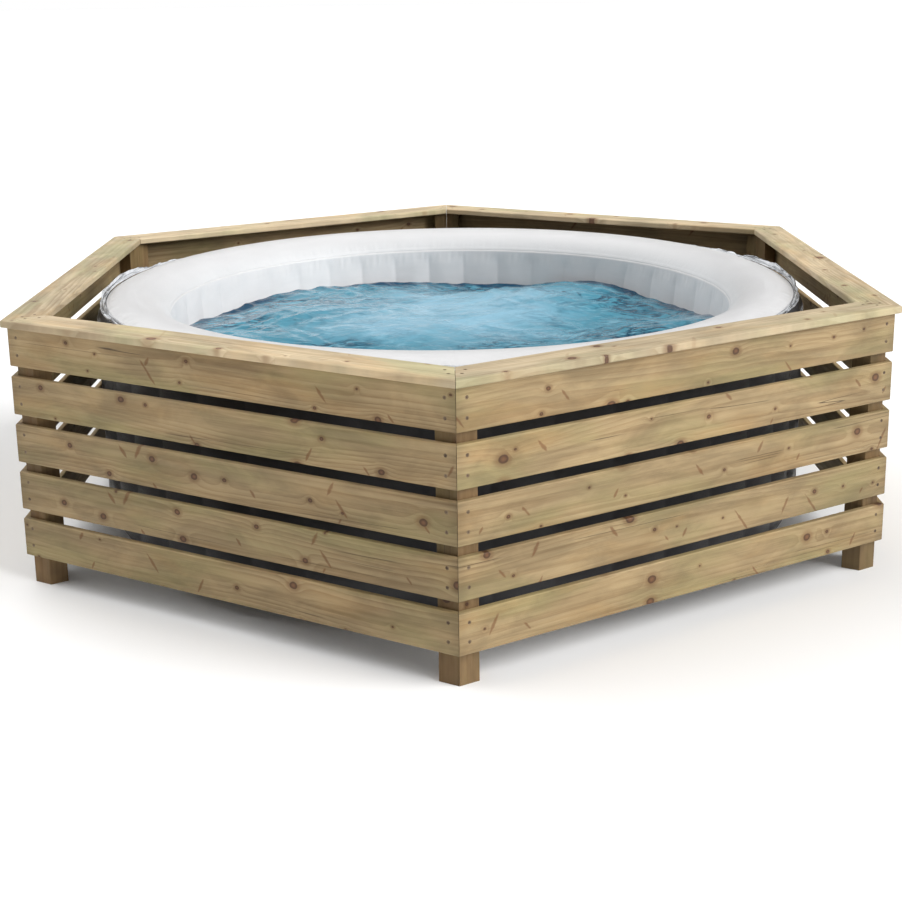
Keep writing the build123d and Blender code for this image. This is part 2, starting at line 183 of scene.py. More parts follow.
class HotTubWater(PropertyGroup):
    """Level, waves and colours of the water."""

    level: FloatProperty(
        name="Level", description="Height of the still water", subtype="DISTANCE",
        default=0.495, min=0.1, max=0.58,
    )
    wave_height: FloatProperty(
        name="Wave height", description="Height of the largest waves", subtype="DISTANCE",
        default=0.012, min=0, max=0.05,
    )
    pale: FloatVectorProperty(
        name="Bubbly water", description="Water clouded by bubbles", subtype="COLOR",
        default=(0.235, 0.420, 0.530), min=0, max=1,
    )
    deep: FloatVectorProperty(
        name="Clear water", description="Water between the clouds of bubbles", subtype="COLOR",
        default=(0.055, 0.225, 0.305), min=0, max=1,
    )


class HotTubStage(PropertyGroup):
    """Floor, light and camera."""

    key_strength: FloatProperty(
        name="Key light", description="Strength of the key light", default=3.45, min=0, max=20
    )
    fill_strength: FloatProperty(
        name="Fill light", description="Strength of the fill light", default=2.1, min=0, max=20
    )
    sky_strength: FloatProperty(
        name="Sky", description="Strength of the even light", default=0.295, min=0, max=5
    )
    lens: FloatProperty(
        name="Lens", description="Focal length", default=56.99, min=10, max=200, unit="CAMERA"
    )


# ------------------------------------------------------------------ surfaces
def put_mesh(name, points, faces, uvs=None):
    """A smooth-shaded mesh object at the origin from whole arrays of points, faces and corner UVs."""
    mesh = bpy.data.meshes.new(name)
    mesh.from_pydata(points.reshape(-1, 3).tolist(), [], faces)
    if uvs is not None:
        layer = mesh.uv_layers.new(name="UVMap")
        layer.data.foreach_set("uv", uvs.astype(np.float32).ravel())
    mesh.polygons.foreach_set("use_smooth", np.ones(len(mesh.polygons), bool))
    mesh.update()
    piece = bpy.data.objects.new(name, mesh)
    bpy.context.scene.collection.objects.link(piece)
    return piece


def turned(name, turn, radius, height):
    """A surface round +Z, closed after one turn.

    turn holds the angles of the rows. radius and height are grids with one row for each angle and
    one column for each place on the section, so a point is (r cos t, r sin t, h). The section runs
    up the outside and down the inside, which makes the faces point outwards.
    """
    rows, columns = radius.shape
    points = np.stack(
        [radius * np.cos(turn)[:, None], radius * np.sin(turn)[:, None], height], axis=-1
    )
    i, j = np.meshgrid(np.arange(rows), np.arange(columns - 1), indexing="ij")
    k = (i + 1) % rows
    faces = np.stack([i * columns + j, k * columns + j, k * columns + j + 1, i * columns + j + 1], -1)
    run = along_section(np.stack([radius[0], height[0]], -1))
    round_step = 2 * math.pi / rows * radius.mean()
    u = np.stack([i, i + 1, i + 1, i], -1) * round_step
    v = np.stack([run[j], run[j], run[j + 1], run[j + 1]], -1)
    return put_mesh(name, points, faces.reshape(-1, 4).tolist(), np.stack([u, v], -1))


def circle_through(a, b, c):
    """Centre and radius of the circle through three points."""
    a, b, c = (complex(*p) for p in (a, b, c))
    w = (c - a) / (b - a)
    centre = (b - a) * (w - abs(w) ** 2) / (2j * w.imag) + a
    return (centre.real, centre.imag), abs(centre - a)


def arc(a, b, c, count):
    """Points on the arc from a through b to c, evenly spaced."""
    (x, y), radius = circle_through(a, b, c)
    angles = np.unwrap([math.atan2(p[1] - y, p[0] - x) for p in (a, b, c)])
    turn = np.linspace(angles[0], angles[2], count)
    return np.stack([x + radius * np.cos(turn), y + radius * np.sin(turn)], -1)


def across_section(section):
    """Unit normals of a section, to the left of its run turned outwards."""
    along = np.gradient(section, axis=0)
    along /= np.linalg.norm(along, axis=1)[:, None]
    return np.stack([along[:, 1], -along[:, 0]], -1)


def along_section(section):
    """Distance from the start of a section to each of its points."""
    return np.concatenate([[0], np.cumsum(np.hypot(*np.diff(section, axis=0).T))])


def shifted(name, turn, section, shift):
    """A surface round +Z whose section is moved along its normals by a grid of distances."""
    normal = across_section(section)
    return turned(name, turn, section[:, 0] + shift * normal[:, 0], section[:, 1] + shift * normal[:, 1])


def disc_grid(steps):
    """A square grid bent to a disc of radius 1: x is s * sqrt(1 - t * t / 2), and y the same turned."""
    s, t = np.meshgrid(np.linspace(-1, 1, steps), np.linspace(-1, 1, steps), indexing="ij")
    return s * np.sqrt(1 - t**2 / 2), t * np.sqrt(1 - s**2 / 2)


def turns(count):
    """Angles of one whole turn, without its end."""
    return np.linspace(0, 2 * math.pi, count, endpoint=False)


def bays(turn, power):
    """0 at a baffle and 1 halfway between two: the absolute sine of the angle in bays, to a power."""
    return np.abs(np.sin((turn - FIRST_BAFFLE) / BAY * math.pi)) ** power


def smooth(low, high, value):
    """0 below low, 1 above high, and an S curve between them."""
    t = np.clip((value - low) / (high - low), 0, 1)
    return t * t * (3 - 2 * t)


def crinkle(turn, run, counts, slant, seed):
    """Irregular folds round the tub: sines with random phases, of the given counts in one turn.

    Each sine leans by up to slant radians for a metre of run, and their sum is scaled to about 1.
    """
    draw = np.random.default_rng(seed)
    total = np.zeros(np.broadcast(turn, run).shape)
    for count in counts:
        phase, lean, size = draw.uniform(0, 2 * math.pi), draw.uniform(-slant, slant), draw.uniform(0.5, 1)
        total += size * np.sin(count * turn + phase + lean * run)
    return total / math.sqrt(len(counts))


def thicken(piece, thickness):
    """Gives a surface its sheet thickness, inwards."""
    solid = piece.modifiers.new("sheet", "SOLIDIFY")
    solid.thickness = thickness
    solid.offset = -1
    return piece


def finish_piece(piece, material, body, slot, *nodes):
    """Gives a new piece its finish in a new material slot and its body, and hides the nodes it stands for.
    The slot argument is not used.
    """
    piece.data.materials.append(material)
    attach(piece, body)
    if nodes:
        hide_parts(*nodes)


def inner_section(count):
    """Section of the inner wall, from the inner seam down to its foot."""
    return arc(
        (INNER_SEAM_RADIUS, INNER_SEAM_HEIGHT), (INNER_WALL_RADIUS, INNER_WALL_MIDDLE),
        (INNER_FOOT_RADIUS, INNER_FOOT_HEIGHT), count,
    )


def inner_pull(turn, run, settings):
    """How far the inner wall lies back from its section: most at a baffle, fading at seam and foot."""
    fade = smooth(0.004, 0.05, run) * (1 - smooth(0.50, 0.57, run))
    crease = (1 - bays(turn, 0.75)) * settings.crease_depth * fade
    pucker = crinkle(turn, run, (171, 214, 263, 331), 60, 5) * 0.0005 * np.exp(-((run - 0.02) / 0.022) ** 2)
    slack = crinkle(turn, run, (5, 9, 13, 47, 61), 14, 6) * 0.0007 * fade
    return crease + pucker + slack - settings.crease_depth * 0.25 * fade


# ------------------------------------------------------------------ finishes
class Finish:
    """A material being put together: each method adds nodes and returns an output socket."""

    def __init__(self, name):
        self.material = bpy.data.materials.new(name)
        self.material.use_nodes = True
        self.tree = self.material.node_tree
        self.tree.nodes.clear()

    def add(self, kind, **settings):
        """A node of that kind with its settings."""
        node = self.tree.nodes.new(kind)
        for key, value in settings.items():
            setattr(node, key, value)
        return node

    def feed(self, socket, value):
        """Links an output to the socket, or sets the socket's own value."""
        if isinstance(value, bpy.types.NodeSocket):
            self.tree.links.new(value, socket)
        else:
            socket.default_value = value

    def math(self, operation, *values):
        """One arithmetic step on up to three values."""
        node = self.add("ShaderNodeMath", operation=operation)
        for socket, value in zip(node.inputs, values):
            self.feed(socket, value)
        return node.outputs[0]

    def point(self, turn=0.0):
        """The place on the object, turned about +Z."""
        place = self.add("ShaderNodeTexCoord").outputs["Object"]
        mapping = self.add("ShaderNodeMapping")
        mapping.inputs["Rotation"].default_value = (0, 0, math.radians(turn))
        self.feed(mapping.inputs["Vector"], place)
        return mapping.outputs[0]

    def unwrapped(self):
        """The place on the sheet, in metres round and along the section."""
        return self.add("ShaderNodeUVMap", uv_map="UVMap").outputs[0]

    def split(self, vector):
        """The three parts of a vector or a colour."""
        node = self.add("ShaderNodeSeparateXYZ")
        self.feed(node.inputs[0], vector)
        return node.outputs[0], node.outputs[1], node.outputs[2]

    def join(self, x, y, z=0.0):
        """A vector from three parts."""
        node = self.add("ShaderNodeCombineXYZ")
        for socket, value in zip(node.inputs, (x, y, z)):
            self.feed(socket, value)
        return node.outputs[0]

    def board(self, along, along_scale, across, across_scale, third):
        """A place on a board, stretched along and across the grain by its own two numbers."""
        along = self.math("MULTIPLY", along, along_scale)
        return self.join(along, self.math("MULTIPLY", across, across_scale), third)

    def grey(self, colour, shade):
        """A colour with its three parts multiplied by one number."""
        return self.mix(1.0, colour, self.join(shade, shade, shade), "MULTIPLY")

    def stretch(self, vector, scale):
        """A vector with each part multiplied."""
        node = self.add("ShaderNodeVectorMath", operation="MULTIPLY")
        self.feed(node.inputs[0], vector)
        node.inputs[1].default_value = scale
        return node.outputs[0]

    def noise(self, vector, scale, detail=2.0, roughness=0.5, distortion=0.0):
        """Smooth noise from 0 to 1."""
        node = self.add("ShaderNodeTexNoise")
        self.feed(node.inputs["Vector"], vector)
        node.inputs["Scale"].default_value = scale
        node.inputs["Detail"].default_value = detail
        node.inputs["Roughness"].default_value = roughness
        node.inputs["Distortion"].default_value = distortion
        return node.outputs[0]

    def cells(self, vector, scale):
        """Distance to the nearest of scattered points on a plane, and a random colour for each."""
        node = self.add("ShaderNodeTexVoronoi", voronoi_dimensions="2D")
        self.feed(node.inputs["Vector"], vector)
        node.inputs["Scale"].default_value = scale
        return node.outputs["Distance"], node.outputs["Color"]

    def cells_on_line(self, value, scale):
        """Distance to the nearest of scattered points on a line, and a random colour for each."""
        node = self.add("ShaderNodeTexVoronoi", voronoi_dimensions="1D")
        self.feed(node.inputs["W"], value)
        node.inputs["Scale"].default_value = scale
        return node.outputs["Distance"], node.outputs["Color"]

    def chance(self, value):
        """Three random numbers that depend on one value."""
        node = self.add("ShaderNodeTexWhiteNoise", noise_dimensions="1D")
        self.feed(node.inputs["W"], value)
        return self.split(node.outputs["Color"])

    def band(self, value, low, high, start=0.0, end=1.0):
        """Takes a value from low to high smoothly to start to end."""
        node = self.add("ShaderNodeMapRange", interpolation_type="SMOOTHSTEP")
        keys = ("Value", "From Min", "From Max", "To Min", "To Max")
        for key, number in zip(keys, (value, low, high, start, end)):
            self.feed(node.inputs[key], number)
        return node.outputs[0]

    def mix(self, share, first, second, blend="MIX"):
        """The second colour over the first by a share."""
        node = self.add("ShaderNodeMix", data_type="RGBA", blend_type=blend)
        for socket, value in ((node.inputs[0], share), (node.inputs[6], first), (node.inputs[7], second)):
            if not isinstance(value, bpy.types.NodeSocket) and socket.type == "RGBA":
                value = (*value[:3], 1.0)
            self.feed(socket, value)
        return node.outputs[2]

    def bump(self, height, distance, under=None):
        """A normal bent by a height from 0 to 1 that stands for the distance."""
        node = self.add("ShaderNodeBump")
        node.inputs["Distance"].default_value = distance
        self.feed(node.inputs["Height"], height)
        if under is not None:
            self.feed(node.inputs["Normal"], under)
        return node.outputs[0]

    def surface(self, colour, roughness, normal=None, glow=None, **constants):
        """The shader itself, with its constant values set on its own sockets."""
        shader = self.add("ShaderNodeBsdfPrincipled")
        if not isinstance(colour, bpy.types.NodeSocket):
            colour = (*colour[:3], 1.0)
        self.feed(shader.inputs["Base Color"], colour)
        self.feed(shader.inputs["Roughness"], roughness)
        if normal is not None:
            self.feed(shader.inputs["Normal"], normal)
        if glow is not None:
            self.feed(shader.inputs["Emission Color"], glow)
        for key, value in constants.items():
            shader.inputs[key.replace("_", " ")].default_value = value
        output = self.add("ShaderNodeOutputMaterial")
        self.tree.links.new(shader.outputs[0], output.inputs["Surface"])
        return self.material


def board_axes(m, kind, turn):
    """Place on a board as along, across, depth and a number of its own, for each kind of timber."""
    x, y, z = m.split(m.point(-turn))
    if kind == "slat":
        row = m.math("FLOOR", m.math("DIVIDE", m.math("SUBTRACT", z, SLAT_LOW - 0.012), SLAT_PITCH))
        middle = m.math("MULTIPLY_ADD", row, SLAT_PITCH, SLAT_LOW + SLAT_HEIGHT / 2)
        number = m.math("ADD", row, turn * 0.7)
        return y, m.math("SUBTRACT", z, middle), m.math("SUBTRACT", x, SLAT_FACE), number
    if kind == "capping":
        middle = (CAPPING[0].x + CAPPING[1].x) / 2
        return y, m.math("SUBTRACT", x, middle), m.math("SUBTRACT", z, CAPPING[1].z), turn * 0.7 + 31.5
    half = m.math("GREATER_THAN", y, 0.0)
    return z, y, m.math("SUBTRACT", x, SLAT_FACE), m.math("ADD", half, turn * 0.7 + 57.3)


def timber(name, kind, turn, settings):
    """Pale treated softwood.

    Grain lines are rings round a pith that wanders along the board, pushed aside by the knots.
    Knots are scattered points on the face, and spike knots are scattered points on two leaning lines.
    Streaks, green, warm and cloudy patches, fibres and a few long checks lie over them.
    """
    m = Finish(name)
    along, across, depth, number = board_axes(m, kind, turn)
    first, second, third = m.chance(number)
    along = m.math("MULTIPLY_ADD", first, BOARD_SHIFT, along)

    # knots: a distance in metres, a radius for each, and whether there is one
    face = m.join(m.math("MULTIPLY", along, 0.82), m.math("MULTIPLY_ADD", second, 3.0, across), 0.0)
    wobble = m.noise(m.join(along, across, depth), 55.0, 2.0)
    reach, lot = m.cells(face, 1 / settings.knot_spacing)
    reach = m.math("MULTIPLY_ADD", wobble, 0.004, m.math("MULTIPLY", reach, settings.knot_spacing))
    size, present, _ = m.split(lot)
    radius = m.math("MULTIPLY_ADD", m.math("POWER", size, 2.0), 0.0085, 0.0045)
    present = m.math("GREATER_THAN", present, 0.30)
    inside = m.math("DIVIDE", reach, radius)
    knot = m.math("MULTIPLY", m.band(inside, 1.08, 0.80), present)
    rim = m.math("MULTIPLY", m.band(inside, 2.1, 1.0), present)
    push = m.math("EXPONENT", m.math("MULTIPLY", m.math("POWER", inside, 2.0), -0.20))
    push = m.math("MULTIPLY", push, present)

    # spike knots: leaning streaks that cross part of the board and taper away from their middles
    spike = 0.0
    for lean, spacing, chance in ((0.75, 0.23, 0.42), (-0.50, 0.29, 0.46)):
        line_place = m.math("MULTIPLY_ADD", across, lean, m.math("ADD", along, spacing))
        beside, lot = m.cells_on_line(line_place, 1 / spacing)
        place, long, there = m.split(lot)
        middle = m.math("MULTIPLY_ADD", place, 0.090, -0.045)
        half_length = m.math("MULTIPLY_ADD", m.math("POWER", long, 2.0), 0.028, 0.009)
        share = m.math("DIVIDE", m.math("ABSOLUTE", m.math("SUBTRACT", across, middle)), half_length)
        taper = m.band(share, 0.1, 1.1, 1.0, 0.35)
        half_width = m.math("MULTIPLY", taper, m.math("MULTIPLY_ADD", place, 0.0028, 0.0030))
        beside = m.math("MULTIPLY_ADD", wobble, 0.009, m.math("MULTIPLY_ADD", beside, spacing, -0.0045))
        mark = m.band(m.math("DIVIDE", beside, half_width), 1.5, 0.35)
        mark = m.math("MULTIPLY", mark, m.band(share, 1.05, 0.60))
        mark = m.math("MULTIPLY", mark, m.math("GREATER_THAN", there, chance))
        spike = m.math("MAXIMUM", spike, mark)
    spike = m.math("MULTIPLY", spike, 1.0 if kind == "slat" else 0.35)

    # rings
    drift = m.noise(m.join(m.math("MULTIPLY", along, 0.9), number, 0.0), 1.0, 1.0)
    pith = m.math("MULTIPLY_ADD", drift, 0.16, m.math("MULTIPLY_ADD", second, 0.10, -0.13))
    sideways = m.math("SUBTRACT", across, pith)
    below = m.math("MULTIPLY_ADD", third, 0.035, m.math("MULTIPLY_ADD", depth, 0.7, 0.014))
    distance = m.math("SQRT", m.math("ADD", m.math("POWER", sideways, 2.0), m.math("POWER", below, 2.0)))
    distance = m.math("MULTIPLY_ADD", push, 0.010, distance)
    sway = m.noise(m.board(along, 1.7, across, 12.0, depth), 1.0, 3.0)
    rings = m.math("MULTIPLY_ADD", sway, 1.7, m.math("DIVIDE", distance, settings.ring_spacing))
    phase = m.math("FRACT", rings)
    line = m.math("MULTIPLY", m.math("POWER", phase, 1.8), m.band(phase, 1.0, 0.86))
    strength = m.noise(m.board(along, 1.1, across, 9.0, number), 1.0, 1.0)
    line_share = m.math("MULTIPLY", line, m.band(strength, 0.30, 0.70, 0.30, 0.92))

    # long streaks, fibres and checks
    streak = m.noise(m.board(along, 1.6, across, 75.0, depth), 1.0, 4.0, 0.6)
    fibre = m.noise(m.board(along, 14.0, across, 900.0, m.math("MULTIPLY", depth, 900.0)), 1.0, 2.0)
    split_line = m.noise(m.board(along, 0.55, across, 34.0, number), 1.0, 1.0)
    split_near = m.math("ABSOLUTE", m.math("SUBTRACT", split_line, 0.5))
    split_where = m.noise(m.board(along, 2.3, across, 20.0, 7.0), 1.0, 1.0)
    check = m.math("MULTIPLY", m.band(split_near, 0.007, 0.001), m.band(split_where, 0.60, 0.66))

    # colour
    colour = m.mix(line_share, settings.early_wood, settings.late_wood)
    colour = m.mix(m.band(streak, 0.42, 0.72, 0.0, 0.55), colour, (0.185, 0.120, 0.058))
    green = m.noise(m.board(along, 2.6, across, 9.0, number), 1.0, 3.0)
    colour = m.mix(m.band(green, 0.44, 0.68, 0.0, 0.52), colour, (0.225, 0.205, 0.090))
    warm = m.noise(m.board(along, 3.4, across, 11.0, number), 1.3, 3.0)
    colour = m.mix(m.band(warm, 0.50, 0.72, 0.0, 0.42), colour, (0.320, 0.200, 0.086))
    colour = m.mix(m.math("MULTIPLY", rim, 0.55), colour, (0.165, 0.085, 0.036))
    colour = m.mix(m.math("MULTIPLY", spike, 0.74), colour, (0.165, 0.074, 0.030))
    heart = m.mix(m.band(inside, 0.9, 0.25), settings.knot, (0.150, 0.068, 0.030))
    colour = m.mix(m.math("MULTIPLY", knot, 0.94), colour, heart)
    colour = m.mix(m.math("MULTIPLY", check, 0.80), colour, (0.050, 0.032, 0.020))
    cloud = m.noise(m.board(along, 5.5, across, 15.0, number), 1.0, 4.0, 0.6, 0.5)
    shade = m.math("MULTIPLY_ADD", first, 0.22, 0.92)
    shade = m.math("MULTIPLY", shade, m.band(cloud, 0.28, 0.72, 0.78, 1.20))
    shade = m.math("MULTIPLY", shade, m.band(fibre, 0.2, 0.8, 0.93, 1.05))
    if kind == "slat":
        # painted highlight: the top 5 mm of each slat is made up to 12 % paler, for the light its upper edge
        # catches
        edge = m.band(across, SLAT_HEIGHT / 2 - 0.005, SLAT_HEIGHT / 2 - 0.001, 1.0, 1.12)
        shade = m.math("MULTIPLY", shade, edge)
        unshifted = m.math("MULTIPLY_ADD", first, -BOARD_SHIFT, along)
        butt = m.math("SUBTRACT", HALF_SIDE, m.math("ABSOLUTE", unshifted))
        shade = m.math("MULTIPLY", shade, m.band(butt, 0.002, 0.03, 0.86, 1.0))
    # Slats and posts take their own tints. The capping boards are the same timber made paler and greyer:
    # painted light, for the light falling on the top of the surround.
    tint_and_painted_capping_light = {"slat": (1.0, 0.99, 0.95), "capping": (1.62, 1.78, 2.15), "post": (0.58, 0.50, 0.42)}[kind]
    colour = m.mix(1.0, colour, m.join(*(m.math("MULTIPLY", shade, part) for part in tint_and_painted_capping_light)), "MULTIPLY")

    # relief
    relief = m.math("MULTIPLY_ADD", line, 0.25, m.math("MULTIPLY", fibre, 0.55))
    relief = m.math("MULTIPLY_ADD", streak, 0.5, relief)
    relief = m.math("MULTIPLY_ADD", knot, 0.45, relief)
    relief = m.math("MULTIPLY_ADD", check, -1.6, relief)
    roughness = m.math("SUBTRACT", m.band(streak, 0.3, 0.8, 0.56, 0.72), m.math("MULTIPLY", knot, 0.12))
    return m.surface(colour, roughness, m.bump(relief, 0.0007), Specular_IOR_Level=0.32)


def vinyl(name, colour, rough, dirt):
    """Laminated sheet: a very fine pressed weave, faint handling marks and a soft gloss.

    The weave is two sets of ripples along the sheet's own directions.
    """
    m = Finish(name)
    sheet = m.unwrapped()
    u, v, _ = m.split(sheet)
    round_ripple, up_ripple = (m.math("SINE", m.math("MULTIPLY", part, WEAVE_PITCH)) for part in (u, v))
    weave = m.math("MULTIPLY", round_ripple, up_ripple)
    cloud = m.noise(sheet, 7.0, 4.0, 0.6)
    mark = m.noise(m.stretch(sheet, (9.0, 42.0, 1.0)), 1.0, 3.0, 0.6, 0.6)
    shade = m.band(cloud, 0.25, 0.75, 1.0 - dirt, 1.0)
    shade = m.math("MULTIPLY", shade, m.band(mark, 0.3, 0.7, 1.0 - dirt / 2, 1.0))
    tone = m.grey(colour, shade)
    gloss = m.band(mark, 0.25, 0.75, rough - 0.06, rough + 0.08)
    normal = m.bump(m.math("MULTIPLY_ADD", weave, 0.05, m.math("MULTIPLY", cloud, 0.6)), 0.0012)
    return m.surface(tone, gloss, normal, Specular_IOR_Level=0.5, Coat_Weight=0.12, Coat_Roughness=0.22)


def hem_foil(name):
    """Glossy pale hem with fine creases. Painted shade darkens the hollows between its folds and its creases.
    """
    m = Finish(name)
    sheet = m.unwrapped()
    fold = m.noise(m.stretch(sheet, (9.0, 165.0, 1.0)), 1.0, 3.0, 0.6, 0.7)
    crease = m.noise(m.stretch(sheet, (70.0, 240.0, 1.0)), 1.0, 3.0, 0.6, 0.8)
    # painted shade: the hollows between the folds are made nearly black
    tone = m.mix(m.band(fold, 0.34, 0.56), (0.060, 0.068, 0.082), (0.76, 0.78, 0.81))
    # painted shade along the fine creases
    tone = m.mix(m.band(crease, 0.58, 0.70, 0.0, 0.45), tone, (0.16, 0.18, 0.20))
    return m.surface(
        tone, m.band(crease, 0.3, 0.7, 0.14, 0.30), m.bump(m.math("MULTIPLY_ADD", crease, 0.4, fold), 0.004),
        Specular_IOR_Level=0.7, Coat_Weight=0.5, Coat_Roughness=0.08, Metallic=0.1,
    )


def moulded(name, colour, rough):
    """Moulded plastic: fine spark-eroded texture with scuffs on it."""
    m = Finish(name)
    place = m.point()
    grain = m.noise(place, 1400.0, 2.0)
    scuff = m.noise(m.stretch(place, (60.0, 60.0, 9.0)), 1.0, 4.0, 0.65, 0.4)
    scuffed = tuple(min(1.0, c * 1.9 + 0.02) for c in colour)
    tone = m.mix(m.band(scuff, 0.56, 0.78, 0.0, 0.35), colour, scuffed)
    gloss = m.band(scuff, 0.3, 0.7, rough, rough + 0.14)
    return m.surface(tone, gloss, m.bump(grain, 0.00025), Specular_IOR_Level=0.45)


def screw_metal(name):
    """Zinc-coated steel, dulled and stained brown in patches."""
    m = Finish(name)
    place = m.point()
    stain = m.noise(place, 90.0, 3.0, 0.6)
    tone = m.mix(m.band(stain, 0.40, 0.66), (0.190, 0.130, 0.075), (0.085, 0.052, 0.030))
    return m.surface(
        tone, m.band(stain, 0.3, 0.7, 0.38, 0.62), m.bump(m.noise(place, 1800.0), 0.0002), Metallic=0.15
    )


def water_finish(name, settings):
    """Lit pool water: pale where bubbles cloud its middle, teal round it, with fine ripples, and a faint
    painted glow that lifts the shade the walls cast on it.

    Dark strands lie in clusters towards the wall, and a dark line of painted shade follows the water's edge.
    """
    m = Finish(name)
    place = m.point()
    x, y, _ = m.split(place)
    far = m.math("SQRT", m.math("ADD", m.math("POWER", x, 2.0), m.math("POWER", y, 2.0)))
    back = m.math("SUBTRACT", y, 0.18)
    middle = m.math("SQRT", m.math("ADD", m.math("POWER", x, 2.0), m.math("POWER", back, 2.0)))
    drift = m.noise(place, 3.0, 3.0, 0.5, 0.5)
    haze = m.band(m.math("MULTIPLY_ADD", drift, -0.60, middle), 0.24, -0.16)
    net = m.noise(m.stretch(place, (5.5, 8.0, 5.5)), 1.0, 4.0, 0.55, 1.2)
    fine = m.noise(m.stretch(place, (15.0, 26.0, 15.0)), 1.0, 3.0, 0.55, 1.0)
    strand = m.noise(m.stretch(place, (6.0, 12.0, 6.0)), 1.0, 5.0, 0.65, 2.6)
    cluster = m.noise(m.join(x, y, 4.0), 4.2, 4.0, 0.6, 0.5)
    tone = m.mix(haze, settings.deep, settings.pale)
    tone = m.mix(m.band(net, 0.46, 0.64, 0.0, 0.50), tone, (0.040, 0.205, 0.290))
    tone = m.mix(m.band(fine, 0.54, 0.68, 0.0, 0.35), tone, (0.260, 0.490, 0.600))
    outer = m.band(middle, 0.10, 0.55)
    dark = m.band(m.math("ABSOLUTE", m.math("SUBTRACT", strand, 0.5)), 0.085, 0.014)
    dark = m.math("MULTIPLY", dark, outer)
    dark = m.math("MULTIPLY", dark, m.band(cluster, 0.42, 0.60, 0.10, 0.95))
    tone = m.mix(dark, tone, (0.0, 0.030, 0.068))
    # painted shade: a broken dark line round the water's edge, where it meets the wall
    line = m.math("MULTIPLY", m.band(far, 0.715, 0.752), m.band(net, 0.36, 0.56, 0.20, 0.95))
    tone = m.mix(line, tone, (0.0, 0.035, 0.085))
    # darker towards the front (-Y), down to 0.66 at y = -0.52; the water is no deeper there
    depth = m.band(y, -0.52, 0.0, 0.66, 1.0)
    tone = m.grey(tone, depth)
    # share of the painted glow: less on the dark strands and the edge line
    gloss = m.math("MULTIPLY_ADD", m.math("MAXIMUM", dark, line), -0.7, 1.0)
    height = m.math("MULTIPLY_ADD", fine, 0.35, net)
    # painted light: a faint teal emission lifts the shade that the walls cast on the water; no lamp is there
    glow = m.mix(m.math("MULTIPLY", gloss, 0.07), (0.0, 0.0, 0.0), (0.14, 0.42, 0.60))
    return m.surface(
        tone, 0.04, m.bump(height, 0.007), glow, IOR=1.33, Specular_IOR_Level=0.20, Emission_Strength=1.0
    )


def dress(nodes, material):
    """Puts a finish on CAD nodes without touching their shapes."""
    for node in nodes:
        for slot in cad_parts[node].material_slots:
            slot.material = material


# ------------------------------------------------------------------ operators
class HOTTUB_OT_timber(Operator):
    """Finishes the slats, the capping boards and the corner posts"""

    bl_idname = "hottub.timber"
    bl_label = "Timber"

    def execute(self, context):
        settings = context.scene.hottub_timber
        for panel, turn in PANELS.items():
            slats = [f"slat_{panel}_{row}" for row in range(1, ROWS + 1)]
            dress(slats, timber(f"slat_wood_{panel}", "slat", turn, settings))
            dress([f"capping_{panel}"], timber(f"capping_wood_{panel}", "capping", turn, settings))
        for corner, turn in CORNERS.items():
            dress([f"corner_post_{corner}"], timber(f"post_wood_{corner}", "post", turn, settings))
        return {"FINISHED"}


class HOTTUB_OT_screws(Operator):
    """Finishes the screws of the surround"""

    bl_idname = "hottub.screws"
    bl_label = "Screws"

    def execute(self, context):
        dress(["surround_screws"], screw_metal("screw_metal"))
        return {"FINISHED"}


class HOTTUB_OT_outer_wall(Operator):
    """Makes the outer wall with its upright ribs"""

    bl_idname = "hottub.outer_wall"
    bl_label = "Outer wall"

    def execute(self, context):
        settings = context.scene.hottub_walls
        foot_centre = OUTER_RADIUS - FOOT_RADIUS
        diagonal = FOOT_RADIUS * math.sqrt(0.5)
        foot = arc(
            (foot_centre, BASE_TOP), (foot_centre + diagonal, BASE_TOP + FOOT_RADIUS - diagonal),
            (OUTER_RADIUS, BASE_TOP + FOOT_RADIUS), 14,
        )
        heights = np.linspace(BASE_TOP + FOOT_RADIUS, SHOULDER_HEIGHT, 30)[1:]
        wall = np.stack([np.full(len(heights), OUTER_RADIUS), heights], -1)
        inset, rise = OUTER_RADIUS - OUTER_SEAM_RADIUS, OUTER_SEAM_HEIGHT - SHOULDER_HEIGHT
        round_off = (inset**2 + rise**2) / (2 * inset)
        lean = np.linspace(0, math.asin(rise / round_off), 12)[1:]
        shoulder = np.stack(
            [OUTER_RADIUS - round_off * (1 - np.cos(lean)), SHOULDER_HEIGHT + round_off * np.sin(lean)], -1
        )
        section = np.concatenate([foot, wall, shoulder])
        turn = turns(settings.turn_steps)
        run = section[:, 1][None, :]
        fade = smooth(BASE_TOP + 0.02, BASE_TOP + 0.12, run)
        fade = fade * (1 - smooth(OUTER_SEAM_HEIGHT - 0.05, OUTER_SEAM_HEIGHT, run))
        angle = turn[:, None]
        pull = (1 - bays(angle, 0.8)) * settings.rib_depth * fade
        pucker = (1 + crinkle(angle, run, (131, 190, 277, 353), 30, 11)) * 0.0009
        pucker = np.clip(pucker, 0, None) * smooth(0.5, 0.6, run) * (1 - smooth(0.62, OUTER_SEAM_HEIGHT, run))
        slack = np.clip(1 + crinkle(angle, run, (7, 12, 19, 44), 9, 12), 0, None) * 0.0008 * fade
        shift = -(pull + pucker + slack)
        piece = shifted("outer_wall_sheet", turn, section, shift)
        thicken(piece, WALL_SHEET)
        sheet = vinyl("charcoal_sheet", settings.charcoal, 0.42, 0.16)
        finish_piece(piece, sheet, "tub", "charcoal_pvc", "outer_wall")
        return {"FINISHED"}


